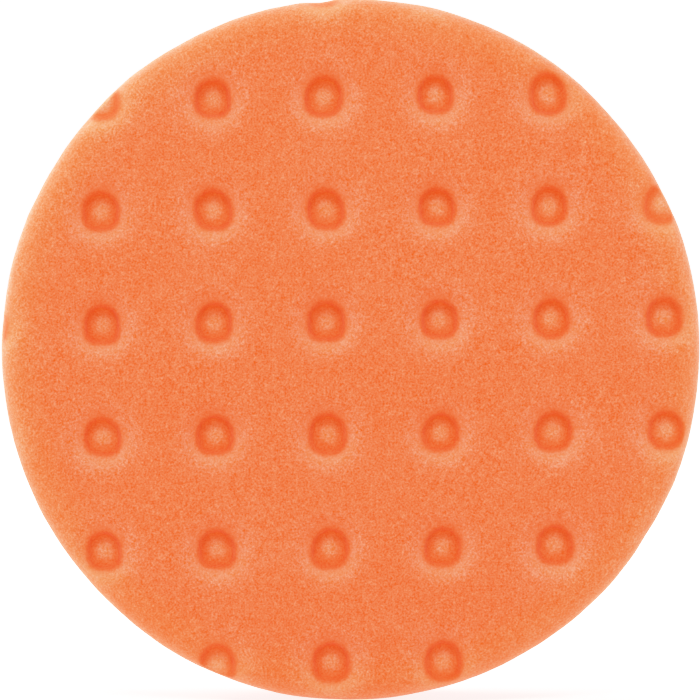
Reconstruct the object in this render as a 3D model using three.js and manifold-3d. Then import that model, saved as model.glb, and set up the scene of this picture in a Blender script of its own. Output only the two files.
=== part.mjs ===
// A foam polishing pad for a machine polisher: an open-cell foam disc with a dimpled working face,
// bonded by a thin adhesive film to a knitted backing disc whose napped loops grip the hooks of the
// polisher's backing plate.
//
// Millimetres, +Z up. The pad's axis is the Y axis. The loop face, where the pad meets the backing
// plate, lies on y = 0 with the origin at its centre, and the working face points along -Y.
import * as THREE from "three";
import { mergeVertices } from "three/addons/utils/BufferGeometryUtils.js";
import Module from "manifold-3d";

// Whole pad.
const PAD_DIAMETER = 165; // 6.5 in class
const PAD_RADIUS = PAD_DIAMETER / 2;
const ROUND_SEGMENTS = 112;

// Layers, counted from the loop face forwards.
const LOOP_PILE_THICKNESS = 2.0;
const LOOP_GROUND_THICKNESS = 0.6;
const ADHESIVE_THICKNESS = 0.4;
const FOAM_THICKNESS = 28.8;
const BACKING_RADIUS = 76; // 6 in class backing plate
const ADHESIVE_RADIUS = BACKING_RADIUS - 0.4; // the film stops just short of the cloth's edge
const PILE_RADIUS = BACKING_RADIUS - 0.3; // the loops lean in from the cut edge
const FILM_EASE = 0.1; // how much each layer's rims are eased
const CLOTH_EASE = 0.15;
const PILE_EASE = 0.5;

// Where each layer starts and ends along Y.
const PILE_FRONT = -LOOP_PILE_THICKNESS;
const GROUND_FRONT = PILE_FRONT - LOOP_GROUND_THICKNESS;
const FILM_FRONT = GROUND_FRONT - ADHESIVE_THICKNESS;
const FACE = FILM_FRONT - FOAM_THICKNESS;

// Foam edge: rounded into the working face, bevelled down to the backing.
const FRONT_EDGE_RADIUS = 6;
const EDGE_STEPS = 6;
const BACK_FACE_RADIUS = 77.5;
const BACK_CORNER_WIDTH = 1.2; // the corner is eased this far across the back
const BACK_CORNER_DEPTH = 0.72; // and this far along the bevel's side
const BEVEL_LENGTH = 10.5; // along the axis
const BEVEL_EASE_IN = 1.0; // how far in from the wall the bevel's turn ends
const BEVEL_EASE_BEHIND = 1.2; // the turn from the wall into the bevel runs this far behind
const BEVEL_EASE_AHEAD = 1.4; // and this far ahead of the bevel's start

// Dimples: a square lattice, a little off the disc's centre and a little turned, because discs are
// cut from dimpled sheet without regard to the pattern.
const DIMPLE_PITCH = 26.4;
const LATTICE_X = -5.73;
const LATTICE_Z = 6.59;
const LATTICE_TURN = THREE.MathUtils.degToRad(0.76);
const DIMPLE_DEPTH = 3.5;
const FLOOR_RADIUS = 2.1; // nearly flat floor
const FLOOR_DISH = 0.1; // how much the floor rises from its centre to its edge
const BOWL_RADIUS = 3.5; // where the floor turns up into the wall
const BOWL_DEPTH = 2.9;
const MOUTH_RADIUS = 4.6; // top of the steep wall
const MOUTH_DEPTH = 1.45; // how far the mouth lies below the working face
const SHOULDER_RADIUS = 7.2; // soft shoulder between the mouth and the flat
const SHOULDER_DEPTH = 0.6;
const FLARE_RADIUS = 10.2; // where the shoulder has run out into the flat
const FLARE_RISE = 0.02; // how far the flare ends above the working face
const DIMPLE_SEGMENTS = 16;
const CUTTER_RELIEF = 1.5; // how far a cutter stands out of the working face
const SLIVER_RADIUS = 6.5; // a dimple this far outside the edge leaves no mark on it

const FOAM_ORANGE = 0xf3834e;
const FILM_AMBER = 0xd9c9a0;
const CLOTH_WHITE = 0xdddcd6;
const LOOP_WHITE = 0xebeae4;

const wasm = await Module();
wasm.setup();

// Turns a profile of [radius, y] points, listed from the back of the body to its front, around the
// Y axis into one closed body.
function revolve(profile, segments) {
  const points = profile.map(([r, y]) => new THREE.Vector2(r, y)).reverse();
  const lathe = new THREE.LatheGeometry(points, segments);
  lathe.deleteAttribute("normal");
  lathe.deleteAttribute("uv");
  return dropSlivers(mergeVertices(lathe, 1e-4));
}

// Removes the triangles that have collapsed where the profile meets the axis.
function dropSlivers(geometry) {
  const kept = [];
  const index = geometry.index.array;
  for (let i = 0; i < index.length; i += 3) {
    const [a, b, c] = [index[i], index[i + 1], index[i + 2]];
    if (a !== b && b !== c && c !== a) kept.push(a, b, c);
  }
  geometry.setIndex(kept);
  return geometry;
}

function toSolid(geometry) {
  return new wasm.Manifold(
    new wasm.Mesh({
      numProp: 3,
      vertProperties: new Float32Array(geometry.getAttribute("position").array),
      triVerts: new Uint32Array(geometry.index.array),
    }),
  );
}

function toGeometry(solid) {
  const mesh = solid.getMesh();
  const geometry = new THREE.BufferGeometry();
  const position = new THREE.BufferAttribute(new Float32Array(mesh.vertProperties), 3);
  geometry.setAttribute("position", position);
  geometry.setIndex(Array.from(mesh.triVerts));
  return geometry;
}

// Points of a quarter round that runs from the straight wall into the working face.
function frontEdge() {
  const points = [];
  for (let i = 0; i <= EDGE_STEPS; i++) {
    const turn = (i / EDGE_STEPS) * (Math.PI / 2);
    const r = PAD_RADIUS - FRONT_EDGE_RADIUS * (1 - Math.cos(turn));
    points.push([r, FACE + FRONT_EDGE_RADIUS * (1 - Math.sin(turn))]);
  }
  return points;
}

// The foam's outline from the centre of its back, round the edge, to the centre of its face.
function foamProfile() {
  return [
    [0, FILM_FRONT],
    [BACK_FACE_RADIUS - BACK_CORNER_WIDTH, FILM_FRONT],
    [BACK_FACE_RADIUS, FILM_FRONT - BACK_CORNER_DEPTH],
    [PAD_RADIUS - BEVEL_EASE_IN, FILM_FRONT - BEVEL_LENGTH + BEVEL_EASE_BEHIND],
    [PAD_RADIUS, FILM_FRONT - BEVEL_LENGTH - BEVEL_EASE_AHEAD],
    ...frontEdge(),
    [0, FACE],
  ];
}

// The cutter of one dimple, standing on the Y axis: floor, bowl, steep wall, soft shoulder, and a
// stub that stands clear of the working face.
function dimpleCutter() {
  return revolve(
    [
      [0, FACE + DIMPLE_DEPTH],
      [FLOOR_RADIUS, FACE + DIMPLE_DEPTH - FLOOR_DISH],
      [BOWL_RADIUS, FACE + BOWL_DEPTH],
      [MOUTH_RADIUS, FACE + MOUTH_DEPTH],
      [SHOULDER_RADIUS, FACE + SHOULDER_DEPTH],
      [FLARE_RADIUS, FACE - FLARE_RISE],
      [FLARE_RADIUS, FACE - CUTTER_RELIEF],
      [0, FACE - CUTTER_RELIEF],
    ],
    DIMPLE_SEGMENTS,
  );
}

// Centres of every dimple that reaches the disc, whole or cut through by its edge.
function dimpleCentres() {
  const centres = [];
  const reach = PAD_RADIUS + SLIVER_RADIUS;
  const steps = Math.ceil(reach / DIMPLE_PITCH) + 1;
  const [across, up] = [DIMPLE_PITCH * Math.cos(LATTICE_TURN), DIMPLE_PITCH * Math.sin(LATTICE_TURN)];
  for (let i = -steps; i <= steps; i++) {
    for (let j = -steps; j <= steps; j++) {
      const x = LATTICE_X + i * across - j * up;
      const z = LATTICE_Z + i * up + j * across;
      if (Math.hypot(x, z) < reach) centres.push([x, z]);
    }
  }
  return centres;
}

function foamDisc() {
  const cutter = toSolid(dimpleCutter());
  const cutters = dimpleCentres().map(([x, z]) => cutter.translate([x, 0, z]));
  const blank = toSolid(revolve(foamProfile(), ROUND_SEGMENTS));
  return toGeometry(blank.subtract(wasm.Manifold.compose(cutters)));
}

// A plain disc between two places along Y, with its rims eased by the same small amount.
function layer(radius, back, front, ease) {
  return revolve(
    [
      [0, back],
      [radius - ease, back],
      [radius, back - ease],
      [radius, front + ease],
      [radius - ease, front],
      [0, front],
    ],
    ROUND_SEGMENTS,
  );
}

function piece(name, geometry, color, roughness) {
  const mesh = new THREE.Mesh(geometry, new THREE.MeshStandardMaterial({ color, roughness }));
  mesh.name = name;
  return mesh;
}

const pad = new THREE.Group();
pad.name = "polishing_pad";
pad.add(
  piece("foam_disc", foamDisc(), FOAM_ORANGE, 0.95),
  piece("adhesive_film", layer(ADHESIVE_RADIUS, GROUND_FRONT, FILM_FRONT, FILM_EASE), FILM_AMBER, 0.5),
  piece("loop_ground", layer(BACKING_RADIUS, PILE_FRONT, GROUND_FRONT, CLOTH_EASE), CLOTH_WHITE, 0.9),
  piece("loop_pile", layer(PILE_RADIUS, 0, PILE_FRONT, PILE_EASE), LOOP_WHITE, 0.85),
);

export default pad;
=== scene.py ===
"""A foam polishing pad, standing on its edge with its dimpled working face to the camera.

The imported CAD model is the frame. The foam, the adhesive film, the backing cloth and its loops are
each built here as a detailed mesh that stands for its CAD node. Lengths in this file are in
millimetres and become metres when a mesh is made.
"""
import math

import bpy
import numpy as np
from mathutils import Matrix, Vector


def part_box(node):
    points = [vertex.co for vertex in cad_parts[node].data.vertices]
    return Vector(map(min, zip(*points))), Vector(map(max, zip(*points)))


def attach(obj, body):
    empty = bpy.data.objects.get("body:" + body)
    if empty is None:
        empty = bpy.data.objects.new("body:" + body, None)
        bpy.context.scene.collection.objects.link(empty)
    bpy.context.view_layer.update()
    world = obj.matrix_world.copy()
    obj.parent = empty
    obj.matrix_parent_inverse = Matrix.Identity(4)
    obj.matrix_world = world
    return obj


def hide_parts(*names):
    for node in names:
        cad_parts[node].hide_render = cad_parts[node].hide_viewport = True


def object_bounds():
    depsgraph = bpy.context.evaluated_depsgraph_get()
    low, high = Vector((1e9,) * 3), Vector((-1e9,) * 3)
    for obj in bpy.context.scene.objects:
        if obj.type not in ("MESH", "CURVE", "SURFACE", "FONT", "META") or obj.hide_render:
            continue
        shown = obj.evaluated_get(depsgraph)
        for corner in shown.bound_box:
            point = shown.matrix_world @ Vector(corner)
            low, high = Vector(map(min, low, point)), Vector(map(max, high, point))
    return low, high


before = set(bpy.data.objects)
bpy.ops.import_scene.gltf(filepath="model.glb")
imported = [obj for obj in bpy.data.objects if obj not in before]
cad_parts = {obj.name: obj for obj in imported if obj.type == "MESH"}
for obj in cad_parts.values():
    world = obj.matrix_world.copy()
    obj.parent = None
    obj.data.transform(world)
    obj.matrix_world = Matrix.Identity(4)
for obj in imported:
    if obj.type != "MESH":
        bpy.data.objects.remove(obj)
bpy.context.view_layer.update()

MM = 0.001
SEED = 4107

# ---------------------------------------------------------------- sizes taken from the CAD model


def node_box(name):
    lo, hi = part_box(name)
    return np.array(lo) / MM, np.array(hi) / MM


FOAM_LO, FOAM_HI = node_box("foam_disc")
FILM_LO, FILM_HI = node_box("adhesive_film")
GROUND_LO, GROUND_HI = node_box("loop_ground")
PILE_LO, PILE_HI = node_box("loop_pile")
PAD_R = (FOAM_HI[0] - FOAM_LO[0]) / 2
FACE_Y = FOAM_LO[1]
FOAM_BACK_Y = FOAM_HI[1]
FILM_R = FILM_HI[0]
CLOTH_R = GROUND_HI[0]
CLOTH_BACK_Y = GROUND_HI[1]
PILE_R = PILE_HI[0]
PILE_TOP_Y = PILE_HI[1]
GAP = 0.01  # between layers that touch

# ---------------------------------------------------------------- the foam's shape

RING_STEP = 0.625  # spacing of the face's points
WALL_STEP = 0.76  # spacing of the side wall's points, along the axis
CROWDING, CROWD_AT, CROWD_HALF = 1.15, 4.1, 1.35  # how much denser they stand in a dimple's wall
CROWD_FADE = 7.0  # and how near the front edge that is over
UNEVEN = 0.13  # how far they are shaken out of their rings
EDGE_R = 6.0  # rounding of the front edge
FACE_RUN = PAD_R - EDGE_R + EDGE_R * math.pi / 2  # along the profile, from the centre to the wall
BACK_R = 77.5
BACK_CORNER = 1.6
BEVEL = 11.0
BEVEL_TURN_R = 9.0  # how gently the wall turns into the bevel
BACK_INSET = 5.0  # how far in from the back's edge its flat middle starts
OVAL = 0.21  # the disc is this much narrower than round, and as much taller

PITCH_X, PITCH_Z = 26.37, 26.5
LATTICE = (-5.73, 6.59)
LATTICE_TURN = math.radians(0.76)
NARROWING = 1e-4  # how much tighter the lattice is drawn for each millimetre further up
WANDER = 0.09  # how far a dimple strays from its place in the lattice
FLOOR_R = 2.1  # where the floor turns up into the wall
MOUTH_R = 4.6  # top of the wall
WALL_DEPTH = 1.8
WALL_CURVE = 2.1  # how round the wall is, as a power
SHOULDER_FROM, SHOULDER_R = 3.6, 10.5  # where the soft shoulder starts and runs out
SHOULDER_DEPTH = 1.7
SHOULDER_CURVE = 1.25
TALLER = 0.035  # how much taller than wide each dimple is, as a share of its radius
FLATTENED = 0.040  # how far each dimple's lower corners stand out from its oval
PINCHED = 0.016  # how much each dimple narrows towards its upper corners and is cut short below

# How much single dimples differ from one another, as standard deviations.
SIZE_SPREAD, DEPTH_SPREAD, OVAL_SPREAD, CORNER_SPREAD = 0.025, 0.06, 0.02, 0.35
TURN_SPREAD = 1.5  # of the direction in which a dimple is oval, in radians
LATTICE_REACH = 4  # dimples counted from the lattice's origin each way

# The cut edge dips a little at the top, where it passes through a dimple.
NICK_AT, NICK_HALF = 95.0, 2.2  # degrees from +X, half width in degrees
NICK_DEPTH = 0.5
NICK_RUN, NICK_FADE = 9.0, 8.0  # how far back it runs at its full depth, and then runs out
NICK_INNER, NICK_RISE = 7.0, 6.0  # how far in from the edge it starts, and reaches its full depth

# How far the outline strays from its oval, as (reach, size of the lumps, seed).
OUTLINE_LUMPS = ((0.16, 26, SEED + 1), (0.10, 9, SEED + 2), (0.03, 3.2, SEED + 3))
OUTLINE_GROWTH = 0.08

# Roughness of the cut foam, as reach and size of the lumps.
WAVES, WAVE_SIZE = 0.10, 14
SWELLS, SWELL_SIZE = 0.05, 4.0
CELLS, CELL_SIZE = 0.045, 1.7
GRIT = 0.025
EDGE_CALM, EDGE_CALM_FROM = 0.6, 3.0  # the cut edge is this much smoother, from this far in
PRESS_SOFT = 0.35  # how softly a dimple's shape meets the rounded edge
PRESS_FADE = 3.0  # how far behind the rounded edge a dimple can still reach


def smooth(t):
    """An even step up from 0 to 1."""
    t = np.clip(t, 0, 1)
    return t * t * (3 - 2 * t)


def bell(value, middle, half_width):
    """1 at the middle, falling off to both sides."""
    return np.exp(-(((value - middle) / half_width) ** 2))


def hash_grid(cells, seed):
    """A repeatable number from 0 to 1 for each whole-number cell."""
    c = cells.astype(np.int64)
    h = c[..., 0] * 73856093 ^ c[..., 1] * 19349663 ^ c[..., 2] * 83492791 ^ seed * 2654435761
    h = (h ^ (h >> 13)) * 1274126177 & 0xFFFFFFFF
    h = (h ^ (h >> 16)) * 2246822519 & 0xFFFFFFFF
    return ((h ^ (h >> 15)) & 0xFFFFFF) / float(0xFFFFFF)


def lumps(points, size, seed):
    """Smooth noise from -1 to 1 whose lumps are about size across."""
    p = points / size
    base = np.floor(p)
    f = p - base
    f = f * f * (3 - 2 * f)
    total = 0
    for corner in range(8):
        off = np.array([corner & 1, corner >> 1 & 1, corner >> 2 & 1])
        w = np.prod(np.where(off, f, 1 - f), axis=-1)
        total = total + w * hash_grid(base + off, seed)
    return total * 2 - 1


def dimples():
    """Centre, size, depth and turn of every dimple that reaches the disc, whole or cut by its edge."""
    rng = np.random.default_rng(SEED)
    c, s = math.cos(LATTICE_TURN), math.sin(LATTICE_TURN)
    found = []
    for i in range(-LATTICE_REACH, LATTICE_REACH + 1):
        for j in range(-LATTICE_REACH, LATTICE_REACH + 1):
            jitter = rng.normal(0, 1, 6)
            x = LATTICE[0] + PITCH_X * i * c - PITCH_Z * j * s
            z = LATTICE[1] + PITCH_X * i * s + PITCH_Z * j * c
            drawn = 1 - NARROWING * z
            x, z = x * drawn + WANDER * jitter[0], z * drawn + WANDER * jitter[1]
            if math.hypot(x, z) < PAD_R + SHOULDER_R:
                found.append(
                    dict(
                        x=x,
                        z=z,
                        size=1 + SIZE_SPREAD * jitter[2],
                        depth=1 + DEPTH_SPREAD * jitter[3],
                        oval=OVAL_SPREAD * jitter[4],
                        turn=TURN_SPREAD * jitter[5],
                        corners=1 + CORNER_SPREAD * jitter[3],
                    )
                )
    return found


def dimple_depth(rho, plain):
    """Depth below the face: the wall follows the dimple's own outline, the shoulder is round."""
    t = np.clip((rho - FLOOR_R) / (MOUTH_R - FLOOR_R), 0, 1)
    wall = WALL_DEPTH * (1 - t**WALL_CURVE)
    out = (plain - SHOULDER_FROM) / (SHOULDER_R - SHOULDER_FROM)
    return wall + SHOULDER_DEPTH * (1 - smooth(out)) ** SHOULDER_CURVE


def dimple_distance(d, x, z):
    """Distance from a dimple's centre, measured so that its own outline comes out round."""
    dx, dz = x - d["x"], z - d["z"]
    rho = np.hypot(dx, dz)
    angle = np.arctan2(dz, dx)
    corners = -np.cos(4 * angle) * (1 - np.sin(angle)) / 2
    shape = 1 + FLATTENED * d["corners"] * corners + d["oval"] * np.cos(2 * (angle - d["turn"]))
    shape -= TALLER * np.cos(2 * angle) + PINCHED * np.sin(3 * angle)
    return rho / (d["size"] * shape), rho


def crowd(x, z, found):
    """Moves points of the face towards the dimples' steep walls, where the shape needs them."""
    t = np.linspace(0, SHOULDER_R, 400)
    share = 1 + CROWDING * bell(t, CROWD_AT, CROWD_HALF)
    old = np.concatenate([[0], np.cumsum((share[1:] + share[:-1]) / 2)])
    old *= SHOULDER_R / old[-1]
    room = smooth((PAD_R - EDGE_R - np.hypot(x, z)) / CROWD_FADE)
    nx, nz = x.copy(), z.copy()
    for d in found:
        dx, dz = x - d["x"], z - d["z"]
        rho = np.hypot(dx, dz)
        near = (rho < SHOULDER_R) & (rho > 1e-6)
        scale = np.interp(rho[near], old, t) / rho[near] - 1
        nx[near] += dx[near] * scale * room[near]
        nz[near] += dz[near] * scale * room[near]
    return nx, nz


def foam_profile():
    """The foam's outline as points (r, y), from the centre of its face round to its back."""
    pts = [(0.0, FACE_Y), (PAD_R - EDGE_R, FACE_Y)]
    for a in np.linspace(0, math.pi / 2, 25)[1:]:
        pts.append((PAD_R - EDGE_R + EDGE_R * math.sin(a), FACE_Y + EDGE_R * (1 - math.cos(a))))
    bevel_y = FOAM_BACK_Y - BEVEL
    slope = math.atan2(PAD_R - BACK_R, BEVEL - BACK_CORNER)
    length = BEVEL_TURN_R * math.tan(slope / 2)
    for a in np.linspace(0, slope, 9):
        y = bevel_y - length + BEVEL_TURN_R * math.sin(a)
        pts.append((PAD_R - BEVEL_TURN_R * (1 - math.cos(a)), y))
    end_r = BACK_R + BACK_CORNER * 0.35
    pts.append((end_r, FOAM_BACK_Y - BACK_CORNER))
    for a in np.linspace(slope, math.pi / 2, 7)[1:]:
        turn = (a - slope) / (math.pi / 2 - slope) * math.pi / 2
        r = end_r - BACK_CORNER * (1 - math.cos(turn))
        pts.append((r, FOAM_BACK_Y - BACK_CORNER * (1 - math.sin(turn))))
    pts.append((BACK_R - BACK_INSET, FOAM_BACK_Y))
    return np.array(pts)


def ring_points(count, radius, y):
    """Points of a circle round the Y axis."""
    a = np.arange(count) * (2 * math.pi / count)
    return np.stack([radius * np.cos(a), np.full(count, y), radius * np.sin(a)], axis=1)


def hexagon_faces(rings):
    """Triangles of a disc whose ring k has 6k points, numbered from the centre outwards."""
    faces = []
    for k in range(1, rings + 1):
        outer = 1 + 3 * k * (k - 1)
        inner = 1 + 3 * (k - 1) * (k - 2) if k > 1 else 0
        for s in range(6):
            i = np.arange(k)
            o0 = outer + (s * k + i)
            o1 = outer + (s * k + i + 1) % (6 * k)
            n0 = inner + (s * (k - 1) + i) % (6 * (k - 1)) if k > 1 else np.zeros(k, int)
            faces.append(np.stack([n0, o0, o1], axis=1))
            if k > 1:
                j = i[:-1]
                n1 = inner + (s * (k - 1) + j + 1) % (6 * (k - 1))
                faces.append(np.stack([n0[:-1], o1[:-1], n1], axis=1))
    return np.concatenate(faces)


def tube_faces(start_a, start_b, count):
    """Triangles between two rings with the same number of points; b lies behind a."""
    j = np.arange(count)
    a0, a1 = start_a + j, start_a + (j + 1) % count
    b0, b1 = start_b + j, start_b + (j + 1) % count
    return np.concatenate([np.stack([a0, b0, b1], axis=1), np.stack([a0, b1, a1], axis=1)])


def make_object(name, verts, faces, smooth_shade=True):
    """A mesh object from points in millimetres and faces that all have as many corners."""
    mesh = bpy.data.meshes.new(name)
    mesh.vertices.add(len(verts))
    mesh.vertices.foreach_set("co", (np.asarray(verts, float) * MM).ravel())
    faces = np.asarray(faces, int)
    sides = faces.shape[1]
    mesh.loops.add(faces.size)
    mesh.loops.foreach_set("vertex_index", faces.ravel())
    mesh.polygons.add(len(faces))
    mesh.polygons.foreach_set("loop_start", np.arange(0, faces.size, sides))
    mesh.update(calc_edges=True)
    mesh.validate()
    if smooth_shade:
        mesh.polygons.foreach_set("use_smooth", np.ones(len(mesh.polygons), bool))
    obj = bpy.data.objects.new(name, mesh)
    bpy.context.collection.objects.link(obj)
    return obj


def add_attribute(obj, name, values):
    layer = obj.data.attributes.new(name, "FLOAT", "POINT")
    layer.data.foreach_set("value", np.asarray(values, np.float32))


def outline_offset(angle):
    """How far the hand-cut outline stands out from a circle, by angle."""
    out = -OVAL * np.cos(2 * angle)
    ring = np.stack([np.cos(angle) * PAD_R, np.zeros_like(angle), np.sin(angle) * PAD_R], axis=-1)
    for reach, size, seed in OUTLINE_LUMPS:
        out = out + reach * lumps(ring, size, seed)
    return out + OUTLINE_GROWTH


def foam_blank():
    """The foam's surface before its dimples are pressed: its points, how far along the profile from
    the face's centre each one lies, and its triangles."""
    line = foam_profile()
    run = np.concatenate([[0], np.cumsum(np.hypot(*np.diff(line, axis=0).T))])
    rings = int(round(FACE_RUN / RING_STEP))
    wall_rings = int(round((run[-1] - FACE_RUN) / WALL_STEP))
    count = 6 * rings
    stops = [(FACE_RUN * k / rings, 6 * k) for k in range(1, rings + 1)]
    stops += [(FACE_RUN + (run[-1] - FACE_RUN) * k / wall_rings, count) for k in range(1, wall_rings + 1)]
    verts, place = [np.array([[0.0, FACE_Y, 0.0]])], [np.array([0.0])]
    for at, points in stops:
        r, y = np.interp(at, run, line[:, 0]), np.interp(at, run, line[:, 1])
        verts.append(ring_points(points, r, y))
        place.append(np.full(points, at))
    verts.append(np.array([[0.0, FOAM_BACK_Y, 0.0]]))
    place.append(np.array([run[-1]]))
    first = 1 + 3 * rings * (rings - 1)  # where the face's last ring starts
    last = first + wall_rings * count
    j = np.arange(count)
    faces = [hexagon_faces(rings)]
    faces += [tube_faces(first + k * count, first + (k + 1) * count, count) for k in range(wall_rings)]
    faces.append(np.stack([last + (j + 1) % count, last + j, np.full(count, last + count)], axis=1))
    return np.concatenate(verts), np.concatenate(place), np.concatenate(faces)


def settle(verts, place, found, rng):
    """Shakes the face's points a little out of their rings, so that these don't show, and moves
    them towards the dimples' walls."""
    shake = rng.uniform(-1, 1, (len(verts), 2)) * UNEVEN
    flat = (place < PAD_R - EDGE_R - 1) & (place > 0)
    x, y, z = verts[:, 0].copy(), verts[:, 1].copy(), verts[:, 2].copy()
    x[flat] += shake[flat, 0]
    z[flat] += shake[flat, 1]
    x[flat], z[flat] = crowd(x[flat], z[flat], found)
    return x, y, z


def cut_outline(x, y, z, angle):
    """Gives the round blank its hand-cut outline: a little oval and uneven, with one nick."""
    radius = np.hypot(x, z)
    grow = outline_offset(angle) * smooth((radius - PAD_R * 0.5) / (PAD_R * 0.5))
    away = np.abs((np.degrees(angle) - NICK_AT + 180) % 360 - 180) / NICK_HALF
    front = 1 - smooth((y - FACE_Y - NICK_RUN) / NICK_FADE)
    inner = smooth((radius - (PAD_R - NICK_INNER)) / NICK_RISE)
    grow -= NICK_DEPTH * np.exp(-(away**2)) * front * inner
    on_back = y > FOAM_BACK_Y - 0.01
    grow = np.where(on_back & (radius < BACK_R - 3), 0, grow)
    scale = np.where(radius > 0, 1 + grow / np.maximum(radius, 1), 1)
    return x * scale, z * scale


def press_dimples(x, y, z, found):
    """Presses the dimples straight in. At the rim the deeper of the two shapes wins, softly."""
    depth = y - FACE_Y
    pressed = np.zeros_like(x)
    for d in found:
        rho, plain = dimple_distance(d, x, z)
        pressed = np.maximum(pressed, dimple_depth(rho, plain) * d["depth"])
    pressed *= smooth((FACE_Y + EDGE_R + PRESS_FADE - y) / PRESS_FADE)
    blend = np.clip(0.5 + 0.5 * (pressed - depth) / PRESS_SOFT, 0, 1)
    eased = PRESS_SOFT * blend * (1 - blend) * (depth > 0)
    deeper = depth * (1 - blend) + pressed * blend + eased
    return np.where(pressed > 0, FACE_Y + np.maximum(deeper, depth), y)


def roughen(p, place, angle, rng):
    """Moves each point along the profile's normal: slow waves of the cut, then single cells."""
    x, y, z = p.T
    rough = WAVES * lumps(p, WAVE_SIZE, SEED + 6) + SWELLS * lumps(p, SWELL_SIZE, SEED + 7)
    cut = 1 - EDGE_CALM * smooth((np.hypot(x, z) - (PAD_R - EDGE_CALM_FROM)) / EDGE_CALM_FROM)
    rough += cut * (CELLS * lumps(p, CELL_SIZE, SEED + 8) + GRIT * rng.uniform(-1, 1, len(p)))
    rough *= smooth((FOAM_BACK_Y - 0.6 - y) / 1.2)  # none on the back, where the film lies
    lean = (np.clip(place, PAD_R - EDGE_R, FACE_RUN) - (PAD_R - EDGE_R)) / EDGE_R
    outward = np.sin(lean)
    normal = np.stack([np.cos(angle) * outward, -np.cos(lean), np.sin(angle) * outward], axis=1)
    p = p + normal * rough[:, None]
    p[:, 1] = np.minimum(p[:, 1], FOAM_BACK_Y)
    return p


# ---------------------------------------------------------------- the foam's tones
# Each point of the foam carries a tone, 0 on the plain face and more where it is paler. In and
# around a dimple it depends on the distance from the dimple's centre and on whether the point lies
# above or below, left or right of it; much of it is painted light and shade, as if lit from above.
# A zone is given as its middle distance and its half width.

# The wall and ring are partly the denser pressed foam's own colour and partly painted shade, painted
# paler below the centre as if lit from above.
WALL_TONE, WALL_BELOW = -0.059, 0.02  # on the wall, and how much more below the centre
WALL_FROM, WALL_TO, WALL_SOFT = 2.0, 3.9, 1.5
RING_TONE, RING_BELOW = -0.048, 0.01  # in the dark ring at the top of the wall
RING_AT, RING_HALF = 3.95, 0.7
# The floor is painted paler: painted light that lifts the shade of the recess.
FLOOR_TONE, FLOOR_HALF = 0.09, 1.95
# The halo is a painted highlight, paler below and to the right; the flare is a fainter one further out.
HALO_HIGHLIGHT, HALO_BELOW, HALO_RIGHT = 0.048, 0.05, 0.008  # on the shoulder that catches the light
HALO_AT, HALO_HALF = 6.1, 2.0
HALO_FROM, HALO_SOFT = 4.5, 0.9
FLARE_TONE, FLARE_AT, FLARE_HALF = 0.012, 8.7, 1.8
CORNER_SHADE, CORNER_SHADE_RIGHT = -0.018, -0.008  # painted shade in the ring's lower corners
CORNER_AT, CORNER_HALF = 4.05, 0.6
MOUTH_EDGE, MOUTH_SOFT = 5.4, 1.2  # where the inside of a dimple ends, and how softly
HALO_YELLOW = 0.4  # how much of the inside's yellow tint the lower halo has
TONE_REACH = 14.0  # how far from its centre a dimple has any effect

# A dimple's tones fade out down the rounded edge: from this depth, over this much more.
TONE_FADE_FROM, TONE_FADE = 1.2, 3.6
YELLOW_FADE_FROM, YELLOW_FADE = 3.0, 3.0

GRAIN = 1.09  # how much of the foam's grain shows on the plain face
CALM, CALM_BELOW, CALM_EDGE, CALM_SOFT = 0.36, -0.12, 7.8, 2.4  # how much less in a dimple
FLOOR_GRAIN, FLOOR_GRAIN_HALF = 0.16, 1.4  # and how much of that its floor has back
LIP_CALM, LIP_AT, LIP_HALF = 0.12, 4.8, 0.9
BELOW_CALM, BELOW_AT, BELOW_HALF = 0.1, 6.4, 1.6
HALO_CALM = 0.1
RIM_CALM, RIM_CALM_RUN, SIDE_CALM_RUN = 0.38, 4.0, 2.5  # how much less at the rim


def dimple_tone(r, low, right, halo, flare):
    """Tone in and around one dimple, much of it painted light and shade. r follows its outline;
    low and right run from -1 to 1.
    """
    wall = smooth((r - WALL_FROM) / WALL_SOFT) * (1 - smooth((r - WALL_TO) / WALL_SOFT))
    tone = (WALL_TONE + WALL_BELOW * low) * wall
    tone += (RING_TONE + RING_BELOW * low) * bell(r, RING_AT, RING_HALF)
    tone += FLOOR_TONE * np.exp(-((r / FLOOR_HALF) ** 6))
    tone += (HALO_HIGHLIGHT + HALO_BELOW * low + HALO_RIGHT * right) * halo
    tone += FLARE_TONE * flare
    corner = 2 * np.maximum(low, 0) * np.abs(right)
    return tone + (CORNER_SHADE + CORNER_SHADE_RIGHT * right) * corner * bell(r, CORNER_AT, CORNER_HALF)


def dimple_calm(r, low, halo):
    """How much less grain shows in and around one dimple, where pressing has closed the cells."""
    calm = CALM * smooth((CALM_EDGE - r) / CALM_SOFT) * (1 + CALM_BELOW * low)
    calm -= FLOOR_GRAIN * bell(r, 0, FLOOR_GRAIN_HALF)
    calm += LIP_CALM * bell(r, LIP_AT, LIP_HALF) + BELOW_CALM * low * bell(r, BELOW_AT, BELOW_HALF)
    return calm + HALO_CALM * np.maximum(low, 0) * halo


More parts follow.
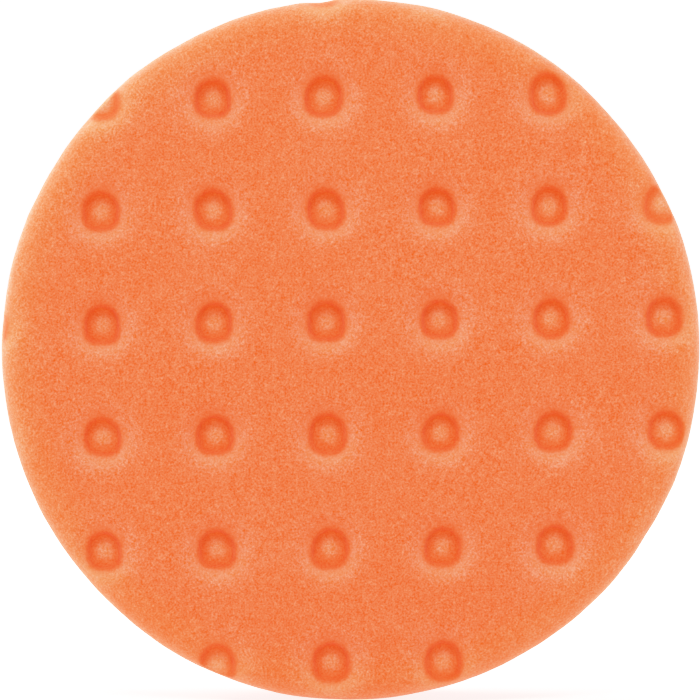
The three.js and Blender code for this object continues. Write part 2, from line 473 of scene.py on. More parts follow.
def foam_tone(x, z, depth, found):
    """For each point: its tone, with its painted light and shade, how much grain shows, how far it
    lies inside a dimple's mouth, and how far the dimples' tones hide the rim's painted highlight.
    The last two run from 0 to 1."""
    tone, inside, cover = np.zeros_like(x), np.zeros_like(x), np.zeros_like(x)
    grain = np.full_like(x, GRAIN)
    on_face = 1 - smooth((depth - TONE_FADE_FROM) / TONE_FADE)
    by_face = 1 - smooth((depth - YELLOW_FADE_FROM) / YELLOW_FADE)
    for d in found:
        rho, plain = dimple_distance(d, x, z)
        near = rho < TONE_REACH
        r, plain, here = rho[near], plain[near], on_face[near]
        low = (d["z"] - z[near]) / np.maximum(plain, 0.5)
        right = (x[near] - d["x"]) / np.maximum(plain, 0.5)
        halo = bell(plain, HALO_AT, HALO_HALF) * smooth((r - HALO_FROM) / HALO_SOFT)
        tone[near] += dimple_tone(r, low, right, halo, bell(plain, FLARE_AT, FLARE_HALF)) * here
        grain[near] -= dimple_calm(r, low, halo) * here
        mouth = smooth((MOUTH_EDGE - r) / MOUTH_SOFT)
        within = np.maximum(mouth, HALO_YELLOW * np.maximum(low, 0) * halo)
        inside[near] = np.maximum(inside[near], within * by_face[near])
        hides = np.maximum(0.8 * halo, mouth * smooth(r - 2.5))
        cover[near] = np.maximum(cover[near], hides * here)
    return tone, grain, inside, cover


# The rim is painted paler: a painted highlight for the light that its rounded edge catches,
# strongest to the upper left and least below. Each part of that is given as its tone and as how far
# it runs.
EDGE_LINE, EDGE_LINE_RUN = 0.09, 0.45  # a fine line along the edge of the face
EDGE_BAND, EDGE_BAND_RUN = 0.075, 1.6  # a narrow band inside it
SIDE_LINE, SIDE_LINE_RUN = 0.125, 1.5  # the same seen from the side, behind the edge
BROAD, BROAD_LEFT, BROAD_RUN = 0.058, 0.05, 4.5  # a broad band, strongest to the upper left
RIM_MEAN, RIM_SIDES, RIM_ABOVE = 0.84, 0.22, 0.18  # least below
RIM_SIDES_TURN, RIM_ABOVE_TURN = 0.37, -0.29
YELLOW_RISE, YELLOW_FROM, YELLOW_RUN = 2.5, 4.0, 9.0  # a painted warm band begins inside the edge and runs out
YELLOW_BELOW, YELLOW_BELOW_RUN = 1.2, 3.0  # on the lower half it starts this much further out


def rim_highlight(inward, past, angle, inside, cover):
    """Painted highlight of the rim. inward is the distance in from the edge, past the distance behind
    it.
    """
    upper_left = np.maximum(np.cos(angle - 0.75 * math.pi), 0) ** 2
    narrow = EDGE_LINE * np.exp(-inward / EDGE_LINE_RUN) + EDGE_BAND * np.exp(-inward / EDGE_BAND_RUN)
    narrow = np.where(past == 0, narrow, SIDE_LINE * np.exp(-past / SIDE_LINE_RUN))
    broad = (BROAD + BROAD_LEFT * upper_left) * np.exp(-(inward + past) / BROAD_RUN)
    rim = narrow * (1 - 0.4 * upper_left) * (1 - cover) + broad * (1 - 0.6 * np.minimum(cover, inside))
    sides = RIM_SIDES * np.cos(2 * angle + RIM_SIDES_TURN)
    return rim * (RIM_MEAN + sides + RIM_ABOVE * np.sin(angle + RIM_ABOVE_TURN))


def rim_yellow(inward, past, angle):
    """How much painted warm light tints the foam near its edge, from 0 to 1."""
    below = np.maximum(-np.sin(angle), 0) * np.exp(-past / YELLOW_BELOW_RUN)
    rise = smooth((inward + YELLOW_BELOW * below) / YELLOW_RISE)
    return rise * (1 - smooth((inward - YELLOW_FROM) / YELLOW_RUN))


INSIDE_YELLOW = 0.75  # how much yellower the foam is tinted inside the pressed dimples


def paint_foam(obj, x, z, depth, place, angle, found):
    """Gives the foam's points the values that its material reads."""
    tone, grain, inside, cover = foam_tone(x, z, depth, found)
    inward = np.maximum(PAD_R - np.hypot(x, z), 0)
    past = np.maximum(place - FACE_RUN, 0)
    yellow = np.maximum(rim_yellow(inward, past, angle), INSIDE_YELLOW * inside)
    # The tone holds the dimples' and the rim's painted light and shade.
    add_attribute(obj, "tone", tone + rim_highlight(inward, past, angle, inside, cover))
    calm = RIM_CALM * np.exp(-((inward / RIM_CALM_RUN) ** 2) - past / SIDE_CALM_RUN)
    add_attribute(obj, "grain", grain * (1 - calm))
    add_attribute(obj, "yellow", yellow)


def build_foam():
    """The foam: a round blank with its outline cut, its dimples pressed in and its surface roughened."""
    found = dimples()
    rng = np.random.default_rng(SEED + 5)
    verts, place, faces = foam_blank()
    x, y, z = settle(verts, place, found, rng)
    angle = np.arctan2(z, x)
    x, z = cut_outline(x, y, z, angle)
    depth = y - FACE_Y
    y = press_dimples(x, y, z, found)
    points = roughen(np.stack([x, y, z], axis=1), place, angle, rng)
    obj = make_object("foam_pad", points, faces)
    paint_foam(obj, x, z, depth, place, angle, found)
    return obj


# ---------------------------------------------------------------- the backing's shape

WALE = 1.86  # spacing of the knitted rows that the loops grow from
COURSE = 1.86  # spacing of the loops along a row
RIB = 0.09  # how far the knitted rows stand out of the cloth
INNER_RINGS = (30, 60)  # radii of the rings of points on the hidden flat sides of a layer

FILM_SEGMENTS = 900
BEADS, BEAD_SIZE, BEAD_REACH = 0.15, 4.5, 1.5  # hot-melt beads: how rare, how long, how far out
FILM_RAGGED, FILM_INSET = 0.18, 0.1

CLOTH_STEP = 0.64  # spacing of the cloth's points
CLOTH_EASE = 0.15
FRAY, FRAY_SIZE, FRAY_ENDS = 0.12, 5, 0.07  # waviness of the cut edge, and single thread ends

THREAD_SIDES = 3
LOOP_THREAD_R, LOOP_POINTS = 0.13, 7
LOOP_WIDTH, LOOP_HEIGHT = (0.5, 0.85), (1.35, 1.8)  # half width and height, least and most
LOOP_STRAY = (0.17, 0.24)  # across and along the row
LOOP_TURN = 0.65  # how far the loops turn out of their row, in radians
NAP_LEAN, NAP_LEAN_SPREAD = (0.18, -0.12), 0.28  # sideways and up, for each millimetre of height

NAP_THREADS, NAP_POINTS, NAP_THREAD_R = 3400, 9, 0.06
NAP_LENGTH, NAP_WAVE, NAP_TOP = (1.6, 4.2), (0.1, 0.4), (0.9, 1.82)
NAP_BEND = 1.1


def disc_body(line, count, edge_r, wander):
    """A closed body: a line of points (r, y), from its front's centre round its edge to its back's
    centre, turned about the Y axis. wander moves the points near its edge in or out."""
    verts = [[(0.0, line[0][1], 0.0)]]
    for r, y in line[1:-1]:
        ring = ring_points(count, r, y)
        move = wander(ring) * smooth((r - edge_r) / 3) / r
        verts.append(ring * (1 + move[:, None] * (1, 0, 1)))
    verts.append([(0.0, line[-1][1], 0.0)])
    j = np.arange(count)
    last = 1 + (len(line) - 3) * count
    faces = [np.stack([np.zeros(count, int), 1 + j, 1 + (j + 1) % count], axis=1)]
    faces += [tube_faces(1 + k * count, 1 + (k + 1) * count, count) for k in range(len(line) - 3)]
    faces.append(np.stack([last + (j + 1) % count, last + j, np.full(count, last + count)], axis=1))
    return np.concatenate(verts), np.concatenate(faces)


def build_film():
    """The hot-melt film. It has crept past the cloth's edge in small beads."""
    front, back = FILM_LO[1] + GAP, FILM_HI[1] - GAP
    r, half = FILM_R, (back - front) / 2

    def wander(ring):
        creep = np.maximum(lumps(ring, BEAD_SIZE, SEED + 20) - BEADS, 0) * BEAD_REACH
        return creep + FILM_RAGGED * lumps(ring, 1.6, SEED + 21) - FILM_INSET

    middle = (front + back) / 2
    edge = [(r + half * math.sin(a), middle - half * math.cos(a)) for a in np.linspace(0, math.pi, 7)]
    line = [(0, front), *((inner, front) for inner in INNER_RINGS), (r - 2, front), *edge]
    line += [(r - 2, back), (INNER_RINGS[1], back), (0, back)]
    verts, faces = disc_body(line, FILM_SEGMENTS, 0.9 * (r - 2), wander)
    return make_object("adhesive_bond", verts, faces)


def build_ground():
    """The knitted cloth that holds the loops: ribbed rows on its back, a slightly frayed cut edge."""
    rings = int(round(CLOTH_R / CLOTH_STEP))
    count = 6 * rings
    front = GROUND_LO[1] + GAP
    rng = np.random.default_rng(SEED + 30)
    line = [*((inner, front) for inner in INNER_RINGS), (CLOTH_R - CLOTH_EASE, front)]
    line += [(CLOTH_R, front + CLOTH_EASE), (CLOTH_R, CLOTH_BACK_Y - 0.2)]
    verts = [[(0.0, front, 0.0)]]
    verts += [ring_points(count, r, y) for r, y in line]
    disc = 1 + len(line) * count
    verts.append([(0.0, CLOTH_BACK_Y, 0.0)])
    verts += [ring_points(6 * k, CLOTH_R * k / rings, CLOTH_BACK_Y) for k in range(1, rings + 1)]
    p = np.concatenate(verts)
    j = np.arange(count)
    faces = [np.stack([np.zeros(count, int), 1 + j, 1 + (j + 1) % count], axis=1)]
    faces += [tube_faces(1 + k * count, 1 + (k + 1) * count, count) for k in range(len(line) - 1)]
    faces.append(tube_faces(1 + (len(line) - 1) * count, disc + 1 + 3 * rings * (rings - 1), count))
    faces.append(hexagon_faces(rings)[:, ::-1] + disc)

    row = np.cos(2 * math.pi * p[:, 0] / WALE)
    stitch = np.cos(4 * math.pi * p[:, 2] / COURSE + 1.2 * row)
    relief = RIB * row + 0.35 * RIB * stitch - 1.35 * RIB
    p[disc:, 1] += (relief + 0.03 * rng.uniform(-1, 1, len(p)) - 0.05)[disc:]
    r = np.hypot(p[:, 0], p[:, 2])
    fray = FRAY * lumps(p, FRAY_SIZE, SEED + 31) + FRAY_ENDS * rng.uniform(-1, 1, len(p)) - 0.05
    scale = 1 + np.where(r > CLOTH_R - 0.5, fray, 0) / np.maximum(r, 1)
    p[:, 0] *= scale
    p[:, 2] *= scale
    return make_object("loop_ground_cloth", p, np.concatenate(faces))


def threads(paths, across, radius):
    """Closed tubes along many short paths at once. across is each path's sideways direction."""
    n, k, _ = paths.shape
    sides = THREAD_SIDES
    along = np.gradient(paths, axis=1)
    along /= np.linalg.norm(along, axis=2, keepdims=True)
    side = across[:, None, :] - along * np.sum(across[:, None, :] * along, axis=2, keepdims=True)
    side /= np.linalg.norm(side, axis=2, keepdims=True)
    third = np.cross(along, side)
    rings = []
    for s in range(sides):
        a = 2 * math.pi * s / sides
        rings.append(paths + radius * (math.cos(a) * side + math.sin(a) * third))
    verts = np.stack(rings, axis=2).reshape(-1, 3)
    a = np.arange(n)[:, None, None] * k * sides + np.arange(k - 1)[None, :, None] * sides
    s0 = np.arange(sides)[None, None, :]
    s1 = (s0 + 1) % sides
    a0, a1, b0, b1 = (np.ravel(v) for v in (a + s0, a + s1, a + sides + s0, a + sides + s1))
    start = np.arange(n) * k * sides
    end = start + (k - 1) * sides
    caps = [np.stack([start, start + i + 1, start + i], axis=1) for i in range(1, sides - 1)]
    caps += [np.stack([end, end + i, end + i + 1], axis=1) for i in range(1, sides - 1)]
    walls = [np.stack([a0, a1, b0], axis=1), np.stack([a1, b1, b0], axis=1)]
    return verts, np.concatenate(walls + caps)


def shade_threads(obj, count, points, seed):
    """Gives every thread a paleness of its own."""
    rng = np.random.default_rng(seed)
    add_attribute(obj, "shade", np.repeat(rng.uniform(-1, 1, count), points))


def loop_roots(rng):
    """Where the loops grow: along the knitted rows, a little out of line."""
    reach = PILE_R - 0.2
    half = int(reach / WALE) + 1
    rows, places = np.meshgrid(np.arange(-half, half + 1), np.arange(-half, half + 1), indexing="ij")
    x = rows * WALE + rng.normal(0, LOOP_STRAY[0], rows.shape)
    z = (places + 0.5 * (rows % 2)) * COURSE + rng.normal(0, LOOP_STRAY[1], rows.shape)
    keep = np.hypot(x, z) < reach
    return x[keep], z[keep]


def build_pile():
    """The stitched loops: small omega-shaped arches, leaning with the nap."""
    rng = np.random.default_rng(SEED + 40)
    x, z = loop_roots(rng)
    n = len(x)
    width, height = rng.uniform(*LOOP_WIDTH, n), rng.uniform(*LOOP_HEIGHT, n)
    heading = rng.normal(math.pi / 2, LOOP_TURN, n)
    a = np.linspace(0, math.pi, LOOP_POINTS)[None, :]
    u = width[:, None] * np.cos(a) * (0.75 + 0.55 * np.sin(a))
    v = height[:, None] * np.sin(a) ** 0.85
    lean_x = rng.normal(NAP_LEAN[0], NAP_LEAN_SPREAD, n)[:, None] * v
    lean_z = rng.normal(NAP_LEAN[1], NAP_LEAN_SPREAD, n)[:, None] * v
    px = x[:, None] + u * np.cos(heading)[:, None] + lean_x
    pz = z[:, None] + u * np.sin(heading)[:, None] + lean_z
    py = CLOTH_BACK_Y - 0.12 + v
    paths = np.stack([px, py, pz], axis=2)
    hold_in(paths)
    across = np.stack([-np.sin(heading), np.zeros(n), np.cos(heading)], axis=1)
    verts, faces = threads(paths, across, LOOP_THREAD_R)
    obj = make_object("loop_pile_loops", verts, faces)
    shade_threads(obj, n, LOOP_POINTS * THREAD_SIDES, SEED + 41)
    return obj


def build_nap():
    """Fine filaments that brushing has raised, lying loosely over and among the loops."""
    rng = np.random.default_rng(SEED + 50)
    n = NAP_THREADS
    r = (PILE_R - 2.2) * np.sqrt(rng.uniform(0, 1, n))
    place = rng.uniform(0, 2 * math.pi, n)
    heading = rng.uniform(0, 2 * math.pi, n)
    length = rng.uniform(*NAP_LENGTH, n)
    t = np.linspace(-0.5, 0.5, NAP_POINTS)[None, :]
    turn = heading[:, None] + rng.normal(0, NAP_BEND, n)[:, None] * t
    reach = rng.uniform(*NAP_WAVE, n)[:, None]
    wave = reach * np.sin(2 * math.pi * (t * 1.6 + rng.uniform(0, 1, n)[:, None]))
    px = (r * np.cos(place))[:, None] + length[:, None] * t * np.cos(turn) - wave * np.sin(turn)
    pz = (r * np.sin(place))[:, None] + length[:, None] * t * np.sin(turn) + wave * np.cos(turn)
    top = rng.uniform(*NAP_TOP, n)[:, None]
    py = CLOTH_BACK_Y - 0.1 + top * np.cos(math.pi * t) ** 0.7
    paths = np.stack([px, py, pz], axis=2)
    hold_in(paths)
    across = np.stack([-np.sin(heading), np.zeros(n), np.cos(heading)], axis=1)
    verts, faces = threads(paths, across, NAP_THREAD_R)
    obj = make_object("loop_pile_nap", verts, faces)
    shade_threads(obj, n, NAP_POINTS * THREAD_SIDES, SEED + 51)
    return obj


def hold_in(paths):
    """Keeps every path inside the loops' own layer."""
    r = np.hypot(paths[..., 0], paths[..., 2])
    scale = np.minimum(1, (PILE_R - 0.15) / np.maximum(r, 1))
    paths[..., 0] *= scale
    paths[..., 2] *= scale
    paths[..., 1] = np.minimum(paths[..., 1], PILE_TOP_Y - 0.16)


# ---------------------------------------------------------------- node helpers


def math_node(tree, operation, *values, clamp=False):
    """A math node whose inputs are numbers or other nodes' outputs."""
    n = tree.nodes.new("ShaderNodeMath")
    n.operation = operation
    n.use_clamp = clamp
    for socket, value in zip(n.inputs, values):
        if isinstance(value, (int, float)):
            socket.default_value = value
        else:
            tree.links.new(value, socket)
    return n.outputs[0]


class Nodes:
    """A short way to write a material's node tree."""

    def __init__(self, name):
        self.mat = bpy.data.materials.new(name)
        self.mat.use_nodes = True
        self.tree = self.mat.node_tree
        self.tree.nodes.clear()
        self.out = self.tree.nodes.new("ShaderNodeOutputMaterial")
        self.bsdf = self.tree.nodes.new("ShaderNodeBsdfPrincipled")
        self.link(self.bsdf.outputs["BSDF"], self.out.inputs["Surface"])
        coord = self.tree.nodes.new("ShaderNodeTexCoord")
        scale = self.tree.nodes.new("ShaderNodeMapping")
        scale.inputs["Scale"].default_value = (1 / MM,) * 3
        self.link(coord.outputs["Object"], scale.inputs["Vector"])
        self.mm = scale.outputs["Vector"]

    def link(self, a, b):
        self.tree.links.new(a, b)

    def set(self, **values):
        for key, value in values.items():
            self.bsdf.inputs[key.replace("_", " ")].default_value = value

    def noise(self, size, detail=2.0, rough=0.5, distortion=0.0):
        n = self.tree.nodes.new("ShaderNodeTexNoise")
        n.inputs["Scale"].default_value = 1 / size
        n.inputs["Detail"].default_value = detail
        n.inputs["Roughness"].default_value = rough
        n.inputs["Distortion"].default_value = distortion
        self.link(self.mm, n.inputs["Vector"])
        return n.outputs["Fac"]

    def cells(self, size):
        n = self.tree.nodes.new("ShaderNodeTexVoronoi")
        n.inputs["Scale"].default_value = 1 / size
        self.link(self.mm, n.inputs["Vector"])
        return n.outputs["Distance"]

    def math(self, operation, *values, clamp=False):
        return math_node(self.tree, operation, *values, clamp=clamp)

    def attribute(self, name):
        n = self.tree.nodes.new("ShaderNodeAttribute")
        n.attribute_name = name
        return n.outputs["Fac"]

    def ramp(self, value, stops):
        n = self.tree.nodes.new("ShaderNodeValToRGB")
        elements = n.color_ramp.elements
        while len(elements) < len(stops):
            elements.new(0.5)
        for e, (at, colour) in zip(elements, stops):
            e.position = at
            e.color = (*colour, 1)
        self.link(value, n.inputs["Fac"])
        return n.outputs["Color"]

    def tint(self, colour, amount, share):
        """Lets a colour vary with amount, by a different share in each channel."""
        vary = self.tree.nodes.new("ShaderNodeVectorMath")
        vary.operation = "MULTIPLY_ADD"
        self.link(amount, vary.inputs[0])
        vary.inputs[1].default_value = share
        vary.inputs[2].default_value = (1, 1, 1)
        out = self.tree.nodes.new("ShaderNodeVectorMath")
        out.operation = "MULTIPLY"
        self.link(colour, out.inputs[0])
        self.link(vary.outputs[0], out.inputs[1])
        return out.outputs[0]

    def bump(self, height, distance, strength=1.0):
        n = self.tree.nodes.new("ShaderNodeBump")
        n.inputs["Strength"].default_value = strength
        n.inputs["Distance"].default_value = distance * MM
        self.link(height, n.inputs["Height"])
        self.link(n.outputs["Normal"], self.bsdf.inputs["Normal"])


def from_srgb(r, g, b):
    """A colour for a socket from its 8-bit picture values."""
    return tuple(((c / 255 + 0.055) / 1.055) ** 2.4 for c in (r, g, b))


FOAM_TONE = 0.514  # where the plain face lies in the foam's colours
FOAM_COLOURS = (
    (0.30, (212, 62, 6)),
    (0.39, (219, 83, 22)),
    (0.514, (224, 104, 57)),
    (0.61, (226, 126, 86)),
    (0.70, (235, 152, 119)),
    (0.82, (244, 177, 158)),
)
GRAIN_TINT = (0.022, 0.25, 0.63)  # how far the grain moves each channel
YELLOW_TINT = (0.0, 0.02, -0.14)
FINE_SIZE, FINE_WEIGHT = 0.46, 9.6  # what the grain is made of
COARSE_SIZE, COARSE_WEIGHT = 1.7, 1.8
PORE_SIZE, PORE_WEIGHT = 0.55, 1.6
GRAIN_SKEW = 0.1  # how much further its light grains stand out than its dark ones
MOTTLE_SIZE, MOTTLE_TONE = 24, 0.04


def foam_material():
    """Orange open-cell foam: cut cells as a fine grain, over tones that the mesh carries, which
    include painted light and shade.
    """
    n = Nodes("orange_foam")
    fine = n.noise(FINE_SIZE, 2.5, 0.75, 0.2)
    coarse = n.noise(COARSE_SIZE, 2.0, 0.5)
    pores = n.cells(PORE_SIZE)
    mottle = n.noise(MOTTLE_SIZE, 3.0, 0.55)
    grain = n.math("MULTIPLY_ADD", n.math("SUBTRACT", fine, 0.5), FINE_WEIGHT, 0.0)
    grain = n.math("MULTIPLY_ADD", n.math("SUBTRACT", coarse, 0.5), COARSE_WEIGHT, grain)
    grain = n.math("MULTIPLY_ADD", n.math("SUBTRACT", pores, 0.45), PORE_WEIGHT, grain)
    grain = n.math("MULTIPLY", grain, n.math("MULTIPLY_ADD", grain, GRAIN_SKEW, 1.0))
    grain = n.math("MULTIPLY", grain, n.attribute("grain"))
    tone = n.math("MULTIPLY_ADD", n.math("SUBTRACT", mottle, 0.5), MOTTLE_TONE, n.attribute("tone"))
    tone = n.math("ADD", tone, FOAM_TONE, clamp=True)
    colour = n.ramp(tone, [(at, from_srgb(*rgb)) for at, rgb in FOAM_COLOURS])
    colour = n.tint(colour, grain, GRAIN_TINT)
    colour = n.tint(colour, n.attribute("yellow"), YELLOW_TINT)
    n.link(colour, n.bsdf.inputs["Base Color"])
    n.set(Roughness=0.95, Sheen_Weight=0.2, Sheen_Roughness=0.5, Specular_IOR_Level=0.1)
    height = n.math("MULTIPLY_ADD", pores, 0.6, n.math("MULTIPLY", fine, 1.0))
    n.bump(height, 0.2, 0.5)
    return n.mat


FILM_COLOURS = ((0.3, (196, 158, 96)), (0.55, (217, 188, 134)), (0.75, (232, 214, 176)))
CLOTH_COLOURS = ((0.25, (176, 173, 166)), (0.5, (208, 206, 199)), (0.75, (228, 227, 221)))
LOOP_COLOURS = ((0.2, (186, 183, 174)), (0.5, (218, 217, 209)), (0.8, (238, 238, 232)))


def film_material():
    """Amber hot-melt: half clear, glossy in places, with small bubbles."""
    n = Nodes("amber_hot_melt")
    cloud = n.noise(5, 3.0, 0.6)
    bubbles = n.cells(0.9)
    tone = n.math("MULTIPLY_ADD", n.math("SUBTRACT", bubbles, 0.4), 0.25, cloud)
    colour = n.ramp(tone, [(at, from_srgb(*rgb)) for at, rgb in FILM_COLOURS])
    n.link(colour, n.bsdf.inputs["Base Color"])
    n.link(n.math("MULTIPLY_ADD", cloud, 0.4, 0.15), n.bsdf.inputs["Roughness"])
    n.set(IOR=1.49, Coat_Weight=0.2, Coat_Roughness=0.15)
    n.bump(n.math("ADD", cloud, n.math("MULTIPLY", bubbles, 0.4)), 0.15, 0.5)
    return n.mat


def cloth_material():
    """Off-white knitted ground: rows of small slanted stitches."""
    n = Nodes("knitted_ground")
    split = n.tree.nodes.new("ShaderNodeSeparateXYZ")
    n.link(n.mm, split.inputs[0])
    rows = n.math("SINE", n.math("MULTIPLY_ADD", split.outputs["X"], 2 * math.pi / WALE, math.pi / 2))
    across = n.math("MULTIPLY", rows, 1.3)
    stitches = n.math("SINE", n.math("MULTIPLY_ADD", split.outputs["Z"], 8 * math.pi / COURSE, across))
    fibres = n.noise(0.25, 3.0, 0.65, 0.6)
    soil = n.noise(18, 3.0, 0.5)
    height = n.math("MULTIPLY_ADD", stitches, 0.35, n.math("MULTIPLY_ADD", rows, 0.3, fibres))
    tone = n.math("MULTIPLY_ADD", height, 0.22, n.math("MULTIPLY_ADD", soil, 0.2, 0.24))
    colour = n.ramp(tone, [(at, from_srgb(*rgb)) for at, rgb in CLOTH_COLOURS])
    n.link(colour, n.bsdf.inputs["Base Color"])
    n.link(n.math("MULTIPLY_ADD", fibres, 0.2, 0.7), n.bsdf.inputs["Roughness"])
    n.set(Sheen_Weight=0.25, Sheen_Roughness=0.5, Specular_IOR_Level=0.3)
    n.bump(height, 0.12, 0.7)
    return n.mat


def loop_material(name, pale):
    """Nylon filament: off-white, a little darker at its root as painted shade, with a soft shine
    along each thread.
    """
    n = Nodes(name)
    split = n.tree.nodes.new("ShaderNodeSeparateXYZ")
    n.link(n.mm, split.inputs[0])
    above = n.math("SUBTRACT", split.outputs["Y"], CLOTH_BACK_Y)
    root = n.math("DIVIDE", above, PILE_TOP_Y - CLOTH_BACK_Y)
    fibres = n.noise(0.18, 2.0, 0.6)
    soil = n.noise(14, 3.0, 0.55)
    # Painted shade: each thread is darker towards its root, among the loops.
    tone = n.math("MULTIPLY_ADD", n.attribute("shade"), 0.14, n.math("MULTIPLY_ADD", root, 0.24, 0.34))
    tone = n.math("MULTIPLY_ADD", n.math("SUBTRACT", fibres, 0.5), 0.25, tone)
    tone = n.math("MULTIPLY_ADD", n.math("SUBTRACT", soil, 0.5), 0.3, tone, clamp=True)
    stops = [(at, from_srgb(*(min(255, c + pale) for c in rgb))) for at, rgb in LOOP_COLOURS]
    colour = n.ramp(tone, stops)
    n.link(colour, n.bsdf.inputs["Base Color"])
    n.link(n.math("MULTIPLY_ADD", fibres, 0.25, 0.32), n.bsdf.inputs["Roughness"])
    n.set(IOR=1.53, Sheen_Weight=0.15, Sheen_Roughness=0.4)
    n.bump(fibres, 0.05, 0.5)
    return n.mat


# ---------------------------------------------------------------- studio

LENS, SENSOR = 150.0, 36.0
HALF_VIEW = 82.64  # half the picture's width at the pad's widest plane
CAMERA_X, CAMERA_Z = -0.21, -0.14


def build_camera():
    """The camera looks straight at the working face, level with the pad's centre."""
    data = bpy.data.cameras.new("camera")
    data.lens, data.sensor_width = LENS, SENSOR
    data.clip_start, data.clip_end = 0.05, 60
    cam = bpy.data.objects.new("camera", data)
    bpy.context.collection.objects.link(cam)
    distance = HALF_VIEW * LENS / (SENSOR / 2)
    cam.location = Vector((CAMERA_X, FACE_Y + EDGE_R - distance, CAMERA_Z)) * MM
    cam.rotation_euler = (math.pi / 2, 0, 0)
    bpy.context.scene.camera = cam


# The floor glows with light of its own, less in a pool that lies ahead of the pad, which is a
# painted soft shadow: the pool's distance from the pad, its radius, and how far it takes to run
# out into white.
POOL_AHEAD, POOL_R, POOL_FADE = 560.0, 440.0, 170.0
FLOOR_RINGS, FLOOR_SEGMENTS = (150.0, 400.0, 900.0, 2500.0, 9000.0), 64
FLOOR_GLOW, FLOOR_GLOW_RISE = 0.5, 0.65  # light of its own in the pool, and how much more outside


def build_floor(z):
    """A pale floor that glows with light of its own and runs into white all round, as a seamless
    sweep does, with a painted soft shadow in a dimmer pool ahead of the pad.
    """
    count = FLOOR_SEGMENTS
    verts = [(0, 0, z)]
    for radius in FLOOR_RINGS:
        verts += [(p[0], p[2], z) for p in ring_points(count, radius, 0.0)]
    faces = [(0, 1 + j, 1 + (j + 1) % count) for j in range(count)]
    for k in range(len(FLOOR_RINGS) - 1):
        a, b = 1 + k * count, 1 + (k + 1) * count
        faces += [tuple(f[::-1]) for f in tube_faces(b, a, count)]
    floor = make_object("floor", verts, faces, False)
    n = Nodes("glowing_floor")
    shade = n.ramp(n.noise(300, 2), ((0.3, (0.56, 0.56, 0.56)), (0.7, (0.58, 0.58, 0.58))))
    n.link(shade, n.bsdf.inputs["Base Color"])
    split = n.tree.nodes.new("ShaderNodeSeparateXYZ")
    n.link(n.mm, split.inputs[0])
    x, y = split.outputs["X"], n.math("ADD", split.outputs["Y"], POOL_AHEAD)
    away = n.math("SQRT", n.math("ADD", n.math("MULTIPLY", x, x), n.math("MULTIPLY", y, y)))
    out = n.math("DIVIDE", n.math("SUBTRACT", away, POOL_R), POOL_FADE)
    glow = n.math("MAXIMUM", n.math("SMOOTH_MIN", out, 1.0, 0.1), 0.0)
    strength = n.math("MULTIPLY_ADD", glow, FLOOR_GLOW_RISE, FLOOR_GLOW)
    n.link(strength, n.bsdf.inputs["Emission Strength"])
    n.set(Roughness=0.9, Specular_IOR_Level=0.1, Emission_Color=(1, 1, 1, 1))
    floor.data.materials.append(n.mat)


def area_light(name, place, size, power):
    """A round white light that shines at the pad's centre. Its place and size are in metres."""
    data = bpy.data.lights.new(name, "AREA")
    data.shape, data.size, data.energy = "DISK", size, power
    obj = bpy.data.objects.new(name, data)
    obj.location = place
    obj.rotation_euler = (-Vector(place)).to_track_quat("-Z", "Y").to_euler()
    bpy.context.collection.objects.link(obj)


RIM_LIGHT = 1.8  # brightest part of the band of light round the pad's own plane
RIM_AT, RIM_HALF = 0.15, 0.3  # how far behind that plane the band's middle lies, and its half width
HORIZON, OVERHEAD = 1.65, 0.35  # brightness of the horizon and of the sky over it
HORIZON_TOP, OVERHEAD_FROM = 0.125, 0.22  # heights between which the one fades into the other


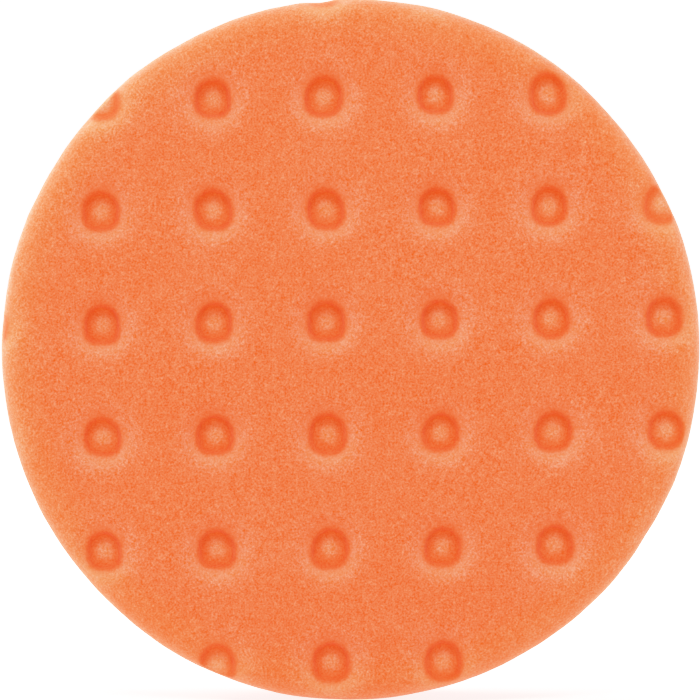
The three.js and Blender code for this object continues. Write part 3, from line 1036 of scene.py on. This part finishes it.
def build_world():
    """A white horizon all round, dimmer overhead, and a soft band of light round the pad's own plane,
    strongest above and to the left, that catches its rim."""
    world = bpy.data.worlds.new("studio")
    world.use_nodes = True
    tree = world.node_tree
    back = tree.nodes["Background"]
    coord = tree.nodes.new("ShaderNodeTexCoord")
    split = tree.nodes.new("ShaderNodeSeparateXYZ")
    tree.links.new(coord.outputs["Generated"], split.inputs[0])
    fade = tree.nodes.new("ShaderNodeMapRange")
    fade.interpolation_type = "SMOOTHSTEP"
    fade.inputs["From Min"].default_value = HORIZON_TOP
    fade.inputs["From Max"].default_value = OVERHEAD_FROM
    fade.inputs["To Min"].default_value = HORIZON
    fade.inputs["To Max"].default_value = OVERHEAD
    tree.links.new(split.outputs["Z"], fade.inputs["Value"])
    off = math_node(tree, "SUBTRACT", split.outputs["Y"], RIM_AT)
    off = math_node(tree, "POWER", math_node(tree, "DIVIDE", off, RIM_HALF), 2)
    band = math_node(tree, "EXPONENT", math_node(tree, "MULTIPLY", off, -1))
    side = math_node(tree, "MULTIPLY_ADD", split.outputs["X"], -0.25, 1)
    side = math_node(tree, "MULTIPLY_ADD", split.outputs["Z"], 0.3, side)
    rim = math_node(tree, "MULTIPLY", math_node(tree, "MULTIPLY", band, side), RIM_LIGHT)
    tree.links.new(math_node(tree, "ADD", fade.outputs["Result"], rim), back.inputs["Strength"])
    back.inputs["Color"].default_value = (1, 1, 1, 1)
    bpy.context.scene.world = world


# Exposure curve: straight in the darks, then a soft shoulder up to white, as a bright studio picture
# is developed. Scene light on the left, picture light on the right.
WHITE = 1.6
SHOULDER = ((0.5, 0.5), (0.75, 0.735), (0.95, 0.85), (1.15, 0.90), (1.35, 0.955))


def build_light():
    build_world()
    area_light("key", (-0.32, -3.12, 5.09), 2.16, 227.0)
    area_light("back_key", (-1.0, 1.15, 1.25), 0.7, 10.0)
    view = bpy.context.scene.view_settings
    view.view_transform, view.look = "Standard", "None"
    view.use_curve_mapping = True
    view.curve_mapping.white_level = (WHITE,) * 3
    curve = view.curve_mapping.curves[3]
    for scene_light, picture_light in SHOULDER:
        curve.points.new(scene_light / WHITE, picture_light)
    view.curve_mapping.update()


# ---------------------------------------------------------------- assembly

build_camera()
foam = build_foam()
foam.data.materials.append(foam_material())
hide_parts("foam_disc")
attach(foam, "root")

film = build_film()
film.data.materials.append(film_material())
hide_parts("adhesive_film")
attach(film, "root")

ground = build_ground()
ground.data.materials.append(cloth_material())
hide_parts("loop_ground")
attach(ground, "root")

pile, nap = build_pile(), build_nap()
for piece, name, pale in ((pile, "loop_nylon", 0), (nap, "nap_nylon", 6)):
    piece.data.materials.append(loop_material(name, pale))
    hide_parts("loop_pile")
    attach(piece, "root")

build_light()
lowest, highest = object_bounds()
build_floor(lowest.z / MM)
